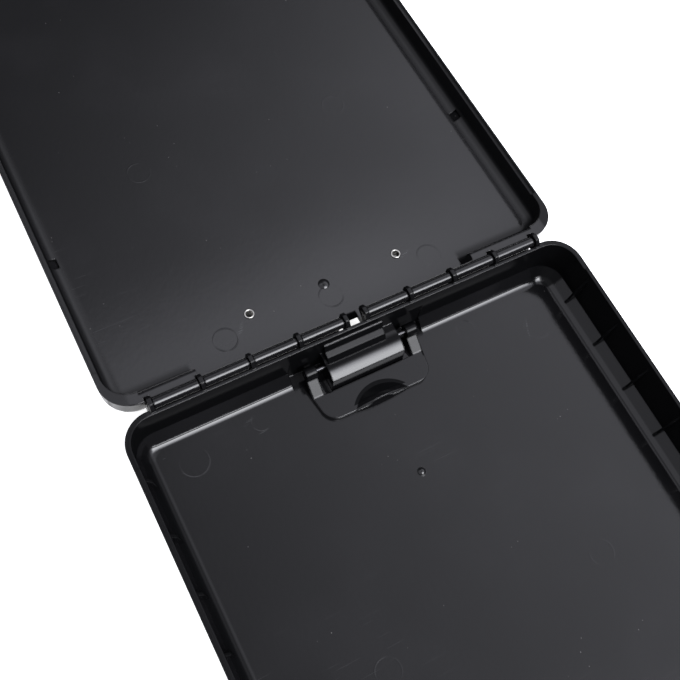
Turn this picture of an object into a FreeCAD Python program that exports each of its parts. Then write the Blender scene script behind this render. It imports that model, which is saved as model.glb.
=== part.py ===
import FreeCAD, Part
import math
import os

# A4 storage clipboard box, opened flat: base tray, hinged lid, sprung document flap inside,
# low paper clip riveted to the outside of the lid, and a front latch.
# Millimetres. Origin at the centre of the tray's underside, +Z up, +Y towards the hinge.

V = FreeCAD.Vector

# Tray and lid, overall
case_width = 240.0
case_length = 345.0
base_height = 28.0
lid_height = 15.7
corner_radius = 15.0
wall = 2.4
floor_thickness = 2.4
lid_panel = 2.3
rim_gap = 0.2
wall_draft = 1.0

# Tray underside: sloped foot between floor and walls
foot_slope = 5.8
foot_inner_round = 6.0

# Rim: tongue on the tray, rebate in the lid
tongue_thickness = 1.2
tongue_height = 1.0
tongue_clearance = 0.25
tongue_rear_stop = 22.5

# Gusset ribs on the long walls
rib_thickness = 1.2
rib_pitch = 26.6
rib_first = 27.0
rib_top_drop = 1.8
rib_shoulder_drop = 9.5
rib_shoulder_reach = 3.2
rib_foot_reach = 5.6

# Hinge
hinge_setback = 2.3
hinge_pitch = 24.27
hinge_centre_gap = 10.4
ear_thickness = 2.0
ear_radius = 4.05
ear_root_drop = 8.0
ear_slot_reach = 4.3
ear_side_clearance = 0.4
barrel_radius = 2.6
hinge_pin_radius = 1.0
pin_press_clearance = 0.015
pin_running_clearance = 0.06
hinge_relief_depth = 1.0
hinge_relief_height = 4.6
hinge_relief_overrun = 0.5
table_clearance = 0.15

# Lid: rear wall, shoulders, centre notch, edges
lid_draft = 1.0
lid_edge_round = 9.0
lid_inner_round = 5.0
lid_rear_land = 5.7
knuckle_wall_start = 0.8
left_shoulder_length = 42.3
right_shoulder_length = 51.5
shoulder_round = 2.0
shoulder_edge_round = 1.8
notch_depth_outside = 5.9
notch_depth_inside = 8.7
window_length = 5.5
window_width = 4.3
window_distance = 92.0
window_wall_inset = 3.5
gate_mark_radius = 1.9
gate_mark_height = 0.5
gate_mark_distance = 72.1
catch_half_width = 20.0
catch_reach = 1.6
catch_drop = 5.2
catch_height = 2.4

# Inner document flap
flap_pivot_inset = 8.5
flap_pivot_height = 11.0
flap_reach = 24.4
flap_half_width = 30.2
flap_front_half_width = 28.2
flap_corner_radius = 8.0
flap_thickness = 2.3
flap_floor_gap = 0.3
flap_arm_width = 5.6
flap_rear_edge = 10.7
flap_ramp_run = 6.0
flap_ramp_rise = 3.1
flap_arm_thickness = 2.4
flap_barrel_radius = 3.3
flap_pin_radius = 1.0
lip_half_width = 14.6
lip_depth = 7.5
lip_rise = 4.0
lip_wall = 1.6

# Spring housing that carries the flap's pin
housing_half_width = 19.7
housing_wall = 1.5
hood_top_forward = 1.2
hood_top_rise = 4.1
hood_lip_forward = 9.0
hood_lip_rise = 1.0
hood_radius = 15.0
housing_front_gap = 0.5
buttress_left = -18.5
buttress_right = 12.8
buttress_top_drop = 5.0
buttress_step_drop = 8.5
buttress_top_reach = 1.2
buttress_step_reach = 2.6
buttress_foot_rise = 3.3
buttress_foot_reach = 1.9
spring_room = 3.6
recess_half_width = 36.0
recess_set_in = 0.5
recess_reach = 12.0
flap_spring_wire_radius = 0.35
flap_spring_mean_radius = 1.5
flap_spring_turns = 1
flap_spring_pitch = 1.3
flap_spring_leg = 6.0
flap_spring_start = 110.0
flap_collar_radius = 2.3
flap_collar_width = 1.6

# Front latch
latch_half_width = 22.0
latch_thickness = 2.2
latch_pivot_height = 12.5
latch_pivot_reach = 3.2
latch_knuckle_radius = 2.4
latch_wall_gap = 2.0
latch_hook_clearance = 0.3
latch_hook_height = 2.2
latch_lip_reach = 3.0
latch_lug_thickness = 3.0
latch_lug_radius = 2.9
latch_side_clearance = 0.4
latch_pin_radius = 1.0
latch_open_angle = 40.0
latch_stop_gap = 0.1

# Paper clip on the lid, measured from the hinge axis and up from the lid's outer face
rivet_spacing = 81.4
rivet_distance = 28.5
rivet_hole_radius = 2.0
rivet_fit = 0.02
rivet_bore_radius = 1.5
rivet_head_radius = 3.6
rivet_head_height = 0.6
rivet_roll_radius = 2.65
rivet_roll_height = 0.7
clip_sheet = 1.0
clip_half_width = 53.5
clip_rear = 17.0
clip_front = 44.0
clip_corner_radius = 4.0
clip_ear_radius = 3.0
clip_pin_distance = 24.0
clip_pin_height = 4.9
clip_pin_radius = 1.25
jaw_half_width = 50.8
jaw_tip_distance = 50.0
jaw_tip_gap = 0.3
jaw_heel_distance = 38.0
jaw_heel_height = 7.6
jaw_crown_distance = 30.0
jaw_crown_height = 8.6
jaw_tab_root = 19.0
jaw_tab_distance = 8.0
jaw_tab_half_width = 21.0
jaw_tab_height = 9.7
jaw_tab_slot_depth = 5.5
jaw_tab_slot_margin = 4.0
jaw_bend_round = 3.0
jaw_tab_corner = 5.0
jaw_ear_radius = 2.9
clip_spring_place = 18.0
clip_spring_wire_radius = 0.5
clip_spring_mean_radius = 2.2
clip_spring_turns = 1
clip_spring_pitch = 1.6
clip_spring_plate_leg = 6.5
clip_spring_tab_leg = 11.0
clip_spring_seat_gap = 0.1
spring_tail = 1.0
spring_hole_clearance = 0.05

# Places worked out from the sizes
half_width = case_width / 2
half_length = case_length / 2
hinge_y = half_length + hinge_setback
hinge_z = base_height + rim_gap / 2
lid_outer_z = -rim_gap / 2 - lid_height
lid_floor_z = lid_outer_z + lid_panel
lid_far = hinge_setback + case_length
drop_to_table = hinge_z + lid_outer_z - table_clearance
rest_tilt = math.degrees(math.asin(drop_to_table / (lid_far - lid_edge_round)))
overshoot = 5.0
knuckles_per_side = int((half_width - corner_radius - hinge_centre_gap / 2) / hinge_pitch)
ear_places = [side * (hinge_centre_gap / 2 + k * hinge_pitch)
              for side in (-1, 1) for k in range(knuckles_per_side + 1)]
hinge_half_span = max(ear_places) + ear_thickness / 2


def rounded_outline(points):
    """Edges of a closed polygon in the XZ plane; each point is (x, z, radius of its corner)."""
    corners = [(V(x, 0, z), radius) for x, z, radius in points]
    starts, ends, edges = [], [], []
    for i, (corner, radius) in enumerate(corners):
        before = (corners[i - 1][0] - corner).normalize()
        after = (corners[(i + 1) % len(corners)][0] - corner).normalize()
        half_turn = before.getAngle(after) / 2
        reach = radius / math.tan(half_turn) if radius else 0.0
        starts.append(corner + before * reach)
        ends.append(corner + after * reach)
        if radius:
            inward = (before + after).normalize()
            middle = corner + inward * (radius / math.sin(half_turn) - radius)
            edges.append(Part.Arc(starts[i], middle, ends[i]).toShape())
        else:
            edges.append(None)
    outline = []
    for i, arc in enumerate(edges):
        if arc:
            outline.append(arc)
        following = starts[(i + 1) % len(starts)]
        if ends[i].distanceToPoint(following) > 1e-6:
            outline.append(Part.LineSegment(ends[i], following).toShape())
    return outline


def face_xz(points):
    """A flat face in the XZ plane from points (x, z, corner radius)."""
    return Part.Face(Part.Wire(Part.__sortEdges__(rounded_outline(points))))


def prism_x(points, x_from, x_to):
    """A prism along X; its points are (y, z, corner radius)."""
    face = face_xz(points)
    face.rotate(V(0, 0, 0), V(0, 0, 1), 90)
    face.translate(V(x_from, 0, 0))
    return face.extrude(V(x_to - x_from, 0, 0))


def box(x_from, x_to, y_from, y_to, z_from, z_to):
    """A box between two corners."""
    return Part.makeBox(x_to - x_from, y_to - y_from, z_to - z_from, V(x_from, y_from, z_from))


def octagon(y, z, radius, corners):
    """Corners of an octagon round a pivot in the YZ plane; corner 0 is just above +Y."""
    turns = [math.radians(22.5 + 45.0 * k) for k in corners]
    return [(y + radius * math.cos(turn), z + radius * math.sin(turn), 0) for turn in turns]


def rod_x(radius, x_from, x_to, y, z):
    """A round rod along X."""
    return Part.makeCylinder(radius, x_to - x_from, V(x_from, y, z), V(1, 0, 0))


def plate_z(half_x, y_from, y_to, radius, z_from, z_to):
    """A flat plate with four rounded corners."""
    plate = box(-half_x, half_x, y_from, y_to, z_from, z_to)
    upright = [e for e in plate.Edges if abs(e.Vertexes[0].Z - e.Vertexes[-1].Z) > 1e-6]
    return plate.makeFillet(radius, upright)


def rounded_block(half_x, half_y, radius, side, centre_y=0.0):
    """A block with rounded corners whose side follows a profile.

    side lists (inset, z, corner radius) from the bottom up. The straight walls are two
    prisms and each corner is the same profile revolved a quarter turn.
    """
    bottom, top = side[0][1], side[-1][1]
    run_x, run_y = half_x - radius, half_y - radius

    def across(half):
        right = [(half - inset, z, r) for inset, z, r in side]
        left = [(inset - half, z, r) for inset, z, r in reversed(side)]
        return face_xz(right + left)

    along_y = across(half_x)
    along_y.translate(V(0, centre_y - run_y, 0))
    along_x = across(half_y)
    along_x.rotate(V(0, 0, 0), V(0, 0, 1), 90)
    along_x.translate(V(-run_x, centre_y, 0))
    corner_profile = face_xz([(radius - inset, z, r) for inset, z, r in side]
                             + [(0.0, top, 0), (0.0, bottom, 0)])
    pieces = [along_x.extrude(V(2 * run_x, 0, 0))]
    for turn, (x, y) in enumerate(((run_x, run_y), (-run_x, run_y), (-run_x, -run_y), (run_x, -run_y))):
        corner = corner_profile.revolve(V(0, 0, 0), V(0, 0, 1), 90)
        corner.rotate(V(0, 0, 0), V(0, 0, 1), 90 * turn)
        corner.translate(V(x, centre_y + y, 0))
        pieces.append(corner)
    return along_y.extrude(V(0, 2 * run_y, 0)).multiFuse(pieces).removeSplitter()


def biarc(start, leaving, end, arriving):
    """Two arcs that join two points and are tangent to the unit directions given at both."""
    chord = end - start
    both = leaving + arriving
    spread = 2 * (1 - leaving.dot(arriving))
    along = chord.dot(both)
    reach = (-along + math.sqrt(along ** 2 + spread * chord.dot(chord))) / spread
    knee_a = start + leaving * reach
    knee_b = end - arriving * reach
    join = (knee_a + knee_b) * 0.5

    def arc(a, knee, b):
        middle = (a + b) * 0.5
        half_turn = math.acos(min(1.0, (b - a).Length / 2 / (knee - a).Length))
        crest = middle + (knee - middle) * (math.tan(half_turn / 2) / math.tan(half_turn))
        return Part.Arc(a, crest, b).toShape()

    return [arc(start, knee_a, join), arc(join, knee_b, end)]


def least_gap(edges, wire_radius, mean_radius):
    """Smallest space between turns of a wire, measured on points along its path."""
    points = []
    for edge in edges:
        points += edge.discretize(Distance=wire_radius)
    run = [0.0]
    for a, b in zip(points, points[1:]):
        run.append(run[-1] + a.distanceToPoint(b))
    apart = math.pi * mean_radius
    spaces = [points[i].distanceToPoint(points[j]) for i in range(len(points))
              for j in range(i) if run[i] - run[j] > apart]
    return min(spaces) - 2 * wire_radius


def torsion_spring(wire_radius, mean_radius, pitch, start_angle, turned, start_leg, end_leg, tail):
    """Coil round the X axis that starts and ends in a straight leg, or ends in a tail along X.

    start_angle is where the first leg meets the coil and turned is the whole turn, both in
    degrees; a negative turn winds from +Z towards +Y. The coil's middle lies at X = 0, and
    the wire is drawn with four flats.
    """
    sense = math.copysign(1.0, turned)
    whole = math.radians(abs(turned))
    length = pitch * whole / (2 * math.pi)
    slope = pitch / (2 * math.pi * mean_radius)

    def point(angle):
        at = math.radians(start_angle) + sense * angle
        return V(length * angle / whole - length / 2, mean_radius * math.cos(at), mean_radius * math.sin(at))

    def heading(angle):
        at = math.radians(start_angle) + sense * angle
        return V(slope, -sense * math.sin(at), sense * math.cos(at)).normalize()

    start = point(0) - heading(0) * start_leg
    edges = [Part.LineSegment(start, point(0)).toShape()]
    pieces = math.ceil(whole / math.pi)
    for k in range(pieces):
        a, b = whole * k / pieces, whole * (k + 1) / pieces
        edges += biarc(point(a), heading(a), point(b), heading(b))
    if end_leg:
        edges.append(Part.LineSegment(point(whole), point(whole) + heading(whole) * end_leg).toShape())
    if tail:
        bend = 2 * wire_radius
        bent = point(whole) + heading(whole) * bend + V(bend, 0, 0)
        edges += biarc(point(whole), heading(whole), bent, V(1, 0, 0))
        edges.append(Part.LineSegment(bent, bent + V(tail, 0, 0)).toShape())
    print("spring coil gap", round(least_gap(edges, wire_radius, mean_radius), 2))
    section = Part.makePolygon([V(wire_radius, 0, 0), V(0, wire_radius, 0), V(-wire_radius, 0, 0),
                                V(0, -wire_radius, 0), V(wire_radius, 0, 0)])
    section.Placement = FreeCAD.Placement(start, FreeCAD.Rotation(V(0, 0, 1), heading(0)))
    return Part.Wire(edges).makePipeShell([section], True, False)


# Base tray

gate_mark_y = half_length - gate_mark_distance
foot_outer_rise = foot_slope + floor_thickness / 2
base_outer_side = [(wall_draft + foot_outer_rise, 0.0, 0.0), (wall_draft, foot_outer_rise, 0.0),
                   (0.0, base_height, 0.0)]
base_inner_side = [(wall_draft + foot_slope, floor_thickness, foot_inner_round),
                   (wall_draft, floor_thickness + foot_slope, 0.0),
                   (0.0, base_height + overshoot, 0.0)]


def tray_ribs():
    """Gusset ribs: they leave the wall just under the rim, widen to a shoulder, then to the foot."""
    inside = half_width - wall
    profile = [(half_width - wall / 2, base_height - rib_top_drop, 0),
               (inside, base_height - rib_top_drop, 0),
               (inside - rib_shoulder_reach, base_height - rib_shoulder_drop, 0),
               (inside - rib_foot_reach, floor_thickness, 0),
               (half_width - wall / 2, floor_thickness, 0)]
    ribs = []
    count = int((case_length - 2 * rib_first) / rib_pitch + 1.5)
    for k in range(count):
        y = half_length - rib_first - k * rib_pitch
        rib = face_xz(profile)
        rib.translate(V(0, y - rib_thickness / 2, 0))
        rib = rib.extrude(V(0, rib_thickness, 0))
        ribs += [rib, rib.mirror(V(0, 0, 0), V(1, 0, 0))]
    return ribs


def hinge_ears():
    """Thin ears behind the rear rim, rounded off over the axis, each on a root down the wall."""
    wall_face = half_length - hinge_relief_depth
    ear_flat = ear_radius * math.cos(math.radians(22.5))
    outline = [(wall_face - wall / 2, hinge_z - ear_root_drop, 0), (wall_face, hinge_z - ear_root_drop, 0),
               (hinge_y, hinge_z - ear_flat, 0)]
    outline += octagon(hinge_y, hinge_z, ear_radius, (-1, 0, 1, 2, 3))
    outline += [(hinge_y - ear_flat, base_height, 0), (wall_face - wall / 2, base_height, 0)]
    return [prism_x(outline, place - ear_thickness / 2, place + ear_thickness / 2) for place in ear_places]


def latch_lugs():
    """Two lugs on the front wall that hold the latch pin."""
    pivot_y = -half_length - latch_pivot_reach
    inside = latch_half_width + latch_side_clearance
    outline = [(-half_length + wall / 2, latch_pivot_height - latch_lug_radius, 0)]
    outline += octagon(pivot_y, latch_pivot_height, latch_lug_radius, (-3, -4, -5, -6))
    outline.append((-half_length + wall / 2, latch_pivot_height + 2 * latch_lug_radius, 0))
    return [prism_x(outline, x_from, x_from + latch_lug_thickness)
            for x_from in (-inside - latch_lug_thickness, inside)]


flap_pivot_y = half_length - flap_pivot_inset
flap_bottom = floor_thickness + flap_floor_gap
flap_top = flap_bottom + flap_thickness
flap_rear_y = flap_pivot_y - flap_rear_edge
flap_front_y = flap_pivot_y - flap_reach
hood_top = (flap_pivot_y - hood_top_forward, flap_pivot_height + hood_top_rise)
hood_lip = (flap_pivot_y - hood_lip_forward, flap_pivot_height + hood_lip_rise)
recess_y = half_length - wall - recess_set_in


def spring_housing():
    """Hooded block that carries the flap's pin.

    Its top is an arc that falls forwards to a sharp lip, with a nearly upright face below it.
    """
    half = housing_half_width
    chord_y, chord_z = hood_lip[0] - hood_top[0], hood_lip[1] - hood_top[1]
    chord = math.hypot(chord_y, chord_z)
    sagitta = hood_radius - math.sqrt(hood_radius ** 2 - chord ** 2 / 4)
    crest = V(-half, (hood_top[0] + hood_lip[0]) / 2 + sagitta * chord_z / chord,
              (hood_top[1] + hood_lip[1]) / 2 - sagitta * chord_y / chord)
    top = V(-half, hood_top[0], hood_top[1])
    lip = V(-half, hood_lip[0], hood_lip[1])
    foot = V(-half, flap_rear_y + housing_front_gap, floor_thickness / 2)
    rear_low = V(-half, recess_y + wall / 4, floor_thickness / 2)
    rear_high = V(-half, recess_y + wall / 4, hood_top[1])
    edges = [Part.LineSegment(rear_high, top).toShape(), Part.Arc(top, crest, lip).toShape(),
             Part.LineSegment(lip, foot).toShape(), Part.LineSegment(foot, rear_low).toShape(),
             Part.LineSegment(rear_low, rear_high).toShape()]
    return Part.Face(Part.Wire(edges)).extrude(V(2 * half, 0, 0))


def housing_hollow():
    """Space for the spring under the hood, open to the tray's underside."""
    front = flap_rear_y + housing_front_gap + housing_wall
    points = [(front, -overshoot, 0), (front, hood_lip[1] - 2 * housing_wall, 0),
              (hood_lip[0] + housing_wall, hood_lip[1] - housing_wall, 1.0),
              (hood_top[0] - housing_wall, hood_top[1] - housing_wall, 2.0),
              (flap_pivot_y + spring_room, hood_top[1] - housing_wall, 1.0),
              (flap_pivot_y + spring_room, -overshoot, 0)]
    half = housing_half_width - housing_wall
    return prism_x(points, -half, half)


def buttress():
    """Stepped wedge between the rear wall and the hood."""
    wall_y = half_length - wall
    step_z = base_height - buttress_step_drop
    points = [(wall_y + wall / 2, base_height - buttress_top_drop, 0),
              (wall_y - buttress_top_reach, base_height - buttress_top_drop, 0),
              (wall_y - buttress_step_reach, step_z, 0),
              (hood_top[0] + buttress_foot_reach, hood_top[1] + buttress_foot_rise, 0),
              (hood_top[0], hood_top[1], 0),
              (hood_top[0], hood_top[1] - housing_wall, 0),
              (wall_y + wall / 2, hood_top[1] - housing_wall, 0)]
    return prism_x(points, buttress_left, buttress_right)


def base_tray():
    """Tray with its ribs, rim tongue, hinge ears, spring housing and latch lugs."""
    outer = rounded_block(half_width, half_length, corner_radius, base_outer_side)
    tongue = rounded_block(half_width - wall + tongue_thickness, half_length - wall + tongue_thickness,
                           corner_radius - wall + tongue_thickness,
                           [(0.0, base_height - wall, 0.0), (0.0, base_height + tongue_height, 0.0)])
    behind = box(-case_width, case_width, half_length - tongue_rear_stop, case_length,
                 0, base_height + overshoot)
    tongue = tongue.cut(behind)
    cavity = rounded_block(half_width - wall, half_length - wall, corner_radius - wall, base_inner_side)
    filled = outer.fuse(tongue)
    inner_parts = [rib.common(filled) for rib in tray_ribs()] + [spring_housing(), buttress()]
    foot_block = box(-recess_half_width - wall, recess_half_width + wall, flap_pivot_y - recess_reach,
                     half_length - wall_draft, 0, base_height / 2)
    recess = box(-recess_half_width, recess_half_width, flap_pivot_y - recess_reach, recess_y,
                 floor_thickness, base_height + overshoot)
    relief = box(-hinge_half_span - hinge_relief_overrun, hinge_half_span + hinge_relief_overrun,
                 half_length - hinge_relief_depth, half_length + overshoot,
                 base_height - hinge_relief_height, base_height + overshoot)
    shell = filled.fuse(foot_block).cut(cavity).cut(recess)
    tray = shell.multiFuse(inner_parts).cut(relief).multiFuse(hinge_ears() + latch_lugs())
    gate = Part.makeCylinder(gate_mark_radius, gate_mark_height, V(0, gate_mark_y, floor_thickness))
    bores = [rod_x(hinge_pin_radius + pin_press_clearance, -half_width, half_width, hinge_y, hinge_z),
             rod_x(flap_pin_radius + pin_running_clearance, -flap_half_width, flap_half_width,
                   flap_pivot_y, flap_pivot_height),
             rod_x(latch_pin_radius + pin_press_clearance, -half_width, half_width,
                   -half_length - latch_pivot_reach, latch_pivot_height)]
    tray = tray.fuse(gate)
    for tool in [housing_hollow()] + bores:
        tray = tray.cut(tool)
    return tray.removeSplitter()


# Lid, modelled flat with its inside up, its rim level and the hinge axis at the origin

def ear_slots():
    """Slots in the lid's rear wall that clear the tray's ears."""
    reach = ear_thickness / 2 + ear_side_clearance
    return [box(place - reach, place + reach, -ear_slot_reach, ear_slot_reach, -ear_slot_reach, overshoot)
            for place in ear_places]


def hinge_barrels():
    """Hinge barrels between the ears of each side."""
    reach = ear_thickness / 2 + ear_side_clearance
    barrels = []
    ordered = sorted(ear_places)
    for left, right in zip(ordered, ordered[1:]):
        if right - left > hinge_centre_gap + 1e-6:
            barrels.append(rod_x(barrel_radius, left + reach, right - reach, 0, 0))
    return barrels


def lid_catch():
    """Ridge on the front wall: sloped towards the rim, flat where the latch hooks over it."""
    near = -rim_gap / 2 - catch_drop
    far = near - catch_height
    points = [(lid_far - wall / 2, near, 0), (lid_far, near, 0),
              (lid_far + catch_reach, near - catch_reach, 0), (lid_far + catch_reach, far, 0),
              (lid_far - wall / 2, far, 0)]
    return prism_x(points, -catch_half_width, catch_half_width)


def lid_shell():
    """Lid tray with knuckle wall, shoulders, hinge barrels, notch, rebate, windows and holes."""
    centre = hinge_setback + half_length
    left_shoulder_end = left_shoulder_length - half_width
    right_shoulder_end = half_width - right_shoulder_length
    rim_z = -rim_gap / 2
    outer = rounded_block(half_width, half_length, corner_radius,
                          [(lid_draft, lid_outer_z, lid_edge_round), (0.0, rim_z, 0.0)], centre)
    rear_inside = hinge_setback + lid_rear_land
    front_inside = lid_far - wall
    cavity = rounded_block(half_width - wall, (front_inside - rear_inside) / 2, corner_radius - wall,
                           [(lid_draft, lid_floor_z, lid_inner_round), (0.0, overshoot, 0.0)],
                           (front_inside + rear_inside) / 2)
    knuckle_wall = box(-hinge_half_span, hinge_half_span, knuckle_wall_start,
                       hinge_setback + lid_rear_land, lid_outer_z, rim_z)
    shoulder_middle = (left_shoulder_end + right_shoulder_end) / 2
    shoulder_half = (right_shoulder_end - left_shoulder_end) / 2
    pocket = plate_z(shoulder_half, knuckle_wall_start + wall, rear_inside + 2 * lid_inner_round,
                     shoulder_round, lid_floor_z, overshoot)
    pocket.translate(V(shoulder_middle, 0, 0))
    edge_y = rear_inside - shoulder_edge_round
    edge_z = rim_z - shoulder_edge_round
    edge_reach = half_width - corner_radius
    shoulder_edge = box(-edge_reach, edge_reach, edge_y, rear_inside + overshoot, edge_z, overshoot)
    shoulder_edge = shoulder_edge.cut(rod_x(shoulder_edge_round, -half_width, half_width, edge_y, edge_z))
    rebate_inset = wall - tongue_thickness - tongue_clearance
    rebate = rounded_block(half_width - rebate_inset, half_length - rebate_inset,
                           corner_radius - rebate_inset,
                           [(0.0, rim_z - tongue_height - rim_gap, 0.0), (0.0, overshoot, 0.0)], centre)
    rebate_start = hinge_setback + tongue_rear_stop - 2 * tongue_clearance
    rebate = rebate.cut(box(-case_width, case_width, -overshoot, rebate_start, lid_outer_z, 2 * overshoot))
    notch_half_width = hinge_centre_gap / 2 + ear_thickness / 2 + ear_side_clearance
    notch = prism_x([(-overshoot, lid_outer_z - overshoot, 0),
                     (notch_depth_outside, lid_outer_z - overshoot, 0),
                     (notch_depth_outside, lid_outer_z, 0), (notch_depth_inside, lid_floor_z, 0),
                     (notch_depth_inside, overshoot, 0), (-overshoot, overshoot, 0)],
                    -notch_half_width, notch_half_width)
    cuts = [cavity, pocket, rebate, notch, shoulder_edge]
    for side in (-1, 1):
        wall_x = half_width - window_wall_inset - window_width / 2
        cuts.append(box(side * wall_x - window_width / 2, side * wall_x + window_width / 2,
                        window_distance - window_length / 2, window_distance + window_length / 2,
                        lid_outer_z - overshoot, lid_floor_z + window_width / 2))
        cuts.append(Part.makeCylinder(rivet_hole_radius + rivet_fit, 2 * lid_height,
                                      V(side * rivet_spacing / 2, rivet_distance, -1.5 * lid_height)))
    shell = outer.multiFuse([knuckle_wall, lid_catch()])
    for tool in cuts + ear_slots():
        shell = shell.cut(tool)
    shell = shell.multiFuse(hinge_barrels())
    shell = shell.cut(rod_x(hinge_pin_radius + pin_running_clearance, -half_width, half_width, 0, 0))
    return shell.removeSplitter()


def place_lid_piece(shape):
    """Swing a piece of the flat lid to the rest pose and carry it to the hinge axis."""
    shape.rotate(V(0, 0, 0), V(1, 0, 0), -rest_tilt)
    shape.translate(V(0, hinge_y, hinge_z))
    return shape


def place_clip_piece(shape):
    """Carry a piece built on a board that faces up to the outer face of the lid."""
    shape.rotate(V(0, 0, 0), V(1, 0, 0), 180)
    shape.translate(V(0, 0, lid_outer_z))
    return place_lid_piece(shape)


# Inner document flap

def inner_clip_flap():
    """Flap with two ramped arms to its pivot barrels and a half-moon finger lip."""
    outline = [(-flap_half_width, flap_rear_y, 0), (-flap_front_half_width, flap_front_y, flap_corner_radius),
               (flap_front_half_width, flap_front_y, flap_corner_radius), (flap_half_width, flap_rear_y, 0)]
    plate = face_xz(outline)
    plate.rotate(V(0, 0, 0), V(1, 0, 0), -90)
    plate.translate(V(0, 0, flap_bottom))
    plate = plate.extrude(V(0, 0, flap_thickness))
    barrel_bottom = flap_pivot_height - flap_barrel_radius
    ramp_end = flap_rear_y + flap_ramp_run
    ramp_top = flap_top + flap_ramp_rise
    arm_profile = [(flap_rear_y - 1.0, flap_bottom, 0), (flap_rear_y - 1.0, flap_top, 0),
                   (flap_rear_y, flap_top, 0), (ramp_end, ramp_top, 0),
                   (flap_pivot_y, flap_pivot_height, 0), (flap_pivot_y, barrel_bottom, 0),
                   (ramp_end + 1.0, ramp_top - flap_arm_thickness, 0),
                   (flap_rear_y + 1.0, flap_bottom, 0)]
    inner_edge = flap_half_width - flap_arm_width
    arms = []
    for x_from, x_to in ((-flap_half_width, -inner_edge), (inner_edge, flap_half_width)):
        arms.append(prism_x(arm_profile, x_from, x_to))
        arms.append(rod_x(flap_barrel_radius, x_from, x_to, flap_pivot_y, flap_pivot_height))
    lip_radius = (lip_half_width ** 2 + lip_depth ** 2) / (2 * lip_depth)
    centre = V(0, flap_front_y + lip_depth - lip_radius, 0)
    slope = lip_rise / lip_depth
    cone_height = lip_radius * slope
    cone = Part.makeCone(lip_radius, 0, cone_height, centre + V(0, 0, flap_top))
    under_z = flap_top - lip_wall / math.cos(math.atan(slope))
    under = Part.makeCone(lip_radius, 0, cone_height, centre + V(0, 0, under_z))
    ahead = box(-case_width, case_width, -half_length, flap_front_y, 0, base_height)
    cone = cone.cut(ahead)
    below = Part.makeCylinder(lip_radius, flap_top, centre).common(
        box(-case_width, case_width, flap_front_y - 1, flap_front_y + lip_depth, 0, flap_top - lip_wall))
    under = under.fuse(below.common(Part.makeCone(lip_radius, 0, cone_height, centre)))
    flap = plate.multiFuse(arms + [cone]).cut(under)
    bore = rod_x(flap_pin_radius + pin_press_clearance, -case_width, case_width,
                 flap_pivot_y, flap_pivot_height)
    return flap.cut(bore).removeSplitter()


flap_spring_turned = -360.0 * flap_spring_turns
flap_collar_x = flap_spring_pitch * flap_spring_turns / 2 + 2 * flap_spring_wire_radius


def inner_clip_spring():
    """Torsion spring on the flap's pin: its leg bears up under the hood, its tail sits in the collar."""
    spring = torsion_spring(flap_spring_wire_radius, flap_spring_mean_radius, flap_spring_pitch,
                            flap_spring_start, flap_spring_turned, flap_spring_leg, 0, spring_tail)
    spring.translate(V(0, flap_pivot_y, flap_pivot_height))
    return spring


def inner_clip_collar():
    """Collar pressed on the flap's pin, with a slot for the spring's tail."""
    x_to = flap_collar_x + flap_collar_width
    collar = rod_x(flap_collar_radius, flap_collar_x, x_to, 0, 0)
    collar = collar.cut(rod_x(flap_pin_radius + pin_press_clearance, flap_collar_x, x_to, 0, 0))
    last = math.radians(flap_spring_start + flap_spring_turned)
    drop = 2 * flap_spring_wire_radius
    tail_y = flap_spring_mean_radius * math.cos(last) + drop * math.sin(last)
    tail_z = flap_spring_mean_radius * math.sin(last) - drop * math.cos(last)
    room = flap_spring_wire_radius + spring_hole_clearance
    reach = flap_collar_radius - math.hypot(tail_y, tail_z) + overshoot
    slot = box(flap_collar_x, x_to, -room, reach, -room, room)
    slot.rotate(V(0, 0, 0), V(1, 0, 0), math.degrees(math.atan2(tail_z, tail_y)))
    slot.translate(V(0, tail_y, tail_z))
    collar = collar.cut(slot)
    collar.translate(V(0, flap_pivot_y, flap_pivot_height))
    return collar


# Front latch, modelled closed against the walls, then swung out to rest

def front_latch():
    """Latch plate with a hook for the lid's catch, a finger lip, a knuckle and a heel.

    The heel meets the tray's wall when the latch leans out, and stops it there.
    """
    pivot_y = -half_length - latch_pivot_reach
    inner_y = -half_length - latch_wall_gap
    outer_y = inner_y - latch_thickness
    catch_top = base_height + rim_gap + catch_drop + catch_height
    hook_z = catch_top + latch_hook_clearance
    top_z = hook_z + latch_hook_height
    lean = math.radians(latch_open_angle)
    inner_reach = latch_pivot_reach - latch_wall_gap
    heel = (latch_pivot_reach - latch_stop_gap - inner_reach * math.cos(lean)) / math.sin(lean)
    heel_z = latch_pivot_height - heel
    points = [(inner_y, heel_z, 0), (inner_y, hook_z, 0), (-half_length - latch_hook_clearance, hook_z, 0),
              (-half_length - latch_hook_clearance, top_z - 1.0, 0),
              (inner_y, top_z, 1.0), (outer_y - latch_lip_reach, top_z + 1.2, 0),
              (outer_y - latch_lip_reach, top_z - 0.4, 0), (outer_y, top_z - 2.6, 2.0),
              (outer_y, heel_z, 0)]
    plate = prism_x(points, -latch_half_width, latch_half_width)
    knuckle = rod_x(latch_knuckle_radius, -latch_half_width, latch_half_width, pivot_y, latch_pivot_height)
    bore = rod_x(latch_pin_radius + pin_running_clearance, -case_width, case_width,
                 pivot_y, latch_pivot_height)
    latch = plate.fuse(knuckle).cut(bore).removeSplitter()
    latch.rotate(V(0, pivot_y, latch_pivot_height), V(1, 0, 0), latch_open_angle)
    return latch


# Paper clip, modelled on a board that faces up: Y is minus the distance from the hinge axis

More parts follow.
